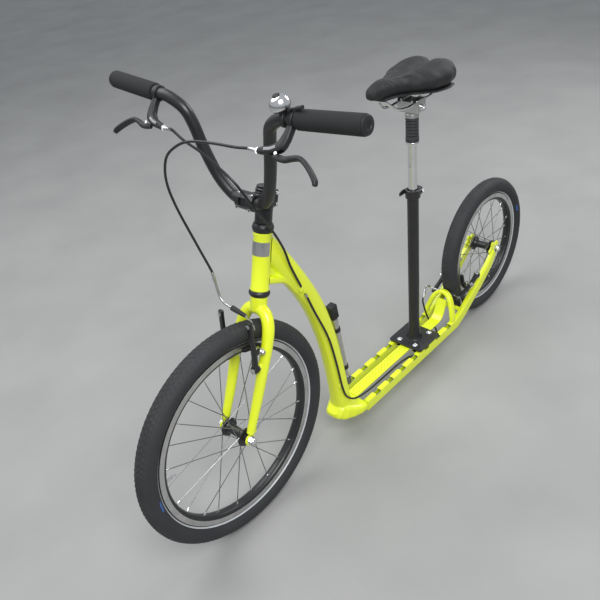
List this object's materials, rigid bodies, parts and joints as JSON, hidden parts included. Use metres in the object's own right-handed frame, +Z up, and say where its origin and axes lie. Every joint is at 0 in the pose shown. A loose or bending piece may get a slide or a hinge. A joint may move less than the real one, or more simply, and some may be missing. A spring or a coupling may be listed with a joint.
{
  "type": "kick scooter",
  "caption": "Foot scooter with a large front wheel, a smaller rear wheel, rim brakes, a low foot deck, a high-rise handlebar with a bell, and a sprung seat on a bolted mast.",
  "frame": {"origin": "on the ground, under the middle of the bounding box", "axes": "+X to the rider's left, +Y towards the rear wheel, +Z up"},
  "size_m": [0.6266, 1.4414, 0.9497],
  "materials": {
    "yellow_paint": "glossy fluorescent yellow paint",
    "tyre_rubber": "dark grey rubber with a pale reflective line",
    "rim_alloy": "black rim with machined brake tracks",
    "hub_black": "black hub shell with bright spokes",
    "chrome": "polished",
    "steel": "satin",
    "black_metal": "satin black",
    "foam": "matt closed-cell foam",
    "black_plastic": "moulded black",
    "cable_housing": "smooth black housing",
    "noodle_alloy": "bright bent tube",
    "saddle_cover": "black stretch cover"
  },
  "bodies": {
    "frame": {"head_tube": "yellow_paint", "down_tube": "yellow_paint", "deck_rail_left": "yellow_paint", "deck_rail_right": "yellow_paint", "deck_strip": "yellow_paint", "rear_arch": "yellow_paint", "stay_bridge": "yellow_paint", "rear_axle": "chrome", "plate_clamp_left": "chrome", "plate_clamp_right": "chrome", "collar_bolt": "chrome", "pump_barrel": "steel", "lower_headset_cup": "black_metal", "upper_headset_cup": "black_metal", "seat_mast": "black_metal", "seat_collar": "black_metal", "pump_head": "black_plastic", "rear_cable": "cable_housing", "rear_noodle": "noodle_alloy"},
    "steering": {"fork": "yellow_paint", "front_axle": "chrome", "steerer_spacer": "black_metal", "stem": "black_metal", "stem_faceplate": "black_metal", "stem_cap": "black_metal", "handlebar": "black_metal", "grip_left": "foam", "grip_right": "foam", "bar_plug_left": "black_plastic", "bar_plug_right": "black_plastic", "lever_body_left": "black_plastic", "lever_body_right": "black_plastic", "bell_base": "black_plastic", "bell_dome": "chrome", "front_cable": "cable_housing", "front_noodle": "noodle_alloy", "rear_cable_upper": "cable_housing"},
    "front_wheel": {"front_tyre": "tyre_rubber", "front_rim": "rim_alloy", "front_hub_and_spokes": "hub_black"},
    "rear_wheel": {"rear_tyre": "tyre_rubber", "rear_rim": "rim_alloy", "rear_hub_and_spokes": "hub_black"},
    "left_brake_lever": {"brake_lever_left": "black_plastic"},
    "right_brake_lever": {"brake_lever_right": "black_plastic"},
    "bell_thumb_lever": {"bell_lever": "black_plastic"},
    "front_brake_arm_left": {"front_brake_left": "black_metal"},
    "front_brake_arm_right": {"front_brake_right": "black_metal"},
    "rear_brake_arm_left": {"rear_brake_left": "black_metal"},
    "rear_brake_arm_right": {"rear_brake_right": "black_metal"},
    "quick_release": {"collar_lever": "black_metal"},
    "sliding_post": {"seat_post": "chrome"},
    "sprung_saddle": {"saddle_plunger": "steel", "saddle_spring": "steel", "rubber_bellows": "black_plastic", "saddle_clamp": "steel", "saddle_rails": "chrome", "saddle_shell": "black_plastic", "saddle_cushion": "saddle_cover"}
  },
  "joints": [
    {"name": "steering_turn", "type": "hinge", "parent": "frame", "child": "steering", "pos_m": [0, -0.32124, 0.59112], "axis": [0, 0.294, 0.9558], "range_deg": [-60, 60], "deforming": ["rear_cable_upper"]},
    {"name": "front_wheel_spin", "type": "hinge", "parent": "steering", "child": "front_wheel", "pos_m": [0, -0.47075, 0.25], "axis": [1, 0, 0], "continuous": true},
    {"name": "rear_wheel_spin", "type": "hinge", "parent": "frame", "child": "rear_wheel", "pos_m": [0, 0.52125, 0.1995], "axis": [1, 0, 0], "continuous": true},
    {"name": "left_lever_pull", "type": "hinge", "parent": "steering", "child": "left_brake_lever", "pos_m": [0.166, -0.38642, 0.8647], "axis": [0, -0.7373, 0.6756], "range_deg": [0, 22], "stiffness_Nm_per_rad": 0.4},
    {"name": "right_lever_pull", "type": "hinge", "parent": "steering", "child": "right_brake_lever", "pos_m": [-0.166, -0.38642, 0.8647], "axis": [0, 0.7373, -0.6756], "range_deg": [0, 22], "stiffness_Nm_per_rad": 0.4},
    {"name": "front_arm_left_swing", "type": "hinge", "parent": "steering", "child": "front_brake_arm_left", "pos_m": [0.0405, -0.40875, 0.404], "axis": [0, -1, 0], "range_deg": [0, 3.3]},
    {"name": "front_arm_right_swing", "type": "hinge", "parent": "steering", "child": "front_brake_arm_right", "pos_m": [-0.0405, -0.40875, 0.404], "axis": [0, 1, 0], "range_deg": [0, 3.3]},
    {"name": "rear_arm_left_swing", "type": "hinge", "parent": "frame", "child": "rear_brake_arm_left", "pos_m": [0.0415, 0.42225, 0.1535], "axis": [0, 0.218, -0.976], "range_deg": [0, 3.19]},
    {"name": "rear_arm_right_swing", "type": "hinge", "parent": "frame", "child": "rear_brake_arm_right", "pos_m": [-0.0415, 0.42225, 0.1535], "axis": [0, -0.218, 0.976], "range_deg": [0, 3.19]},
    {"name": "bell_thumb", "type": "hinge", "parent": "steering", "child": "bell_thumb_lever", "pos_m": [0.16997, -0.35028, 0.92881], "axis": [-0.1237, -0.2576, 0.9583], "range_deg": [0, 25], "stiffness_Nm_per_rad": 0.05},
    {"name": "collar_lever_open", "type": "hinge", "parent": "frame", "child": "quick_release", "pos_m": [-0.0165, 0.20851, 0.5149], "axis": [0, 0, -1], "range_deg": [0, 110]},
    {"name": "post_height", "type": "slide", "parent": "frame", "child": "sliding_post", "axis": [0, 0.0531, 0.9986], "range_m": [-0.1, 0.08]},
    {"name": "saddle_suspension", "type": "slide", "parent": "sliding_post", "child": "sprung_saddle", "axis": [0, 0.0531, 0.9986], "range_m": [-0.028, 0], "stiffness_N_per_m": 9000, "springref_m": 0.004, "deforming": ["rubber_bellows", "saddle_spring"]}
  ],
  "couplings": [
    {"joint": "front_arm_left_swing", "follows": "left_lever_pull", "ratio": 0.15},
    {"joint": "front_arm_right_swing", "follows": "left_lever_pull", "ratio": 0.15},
    {"joint": "rear_arm_left_swing", "follows": "right_lever_pull", "ratio": 0.145},
    {"joint": "rear_arm_right_swing", "follows": "right_lever_pull", "ratio": 0.145}
  ]
}
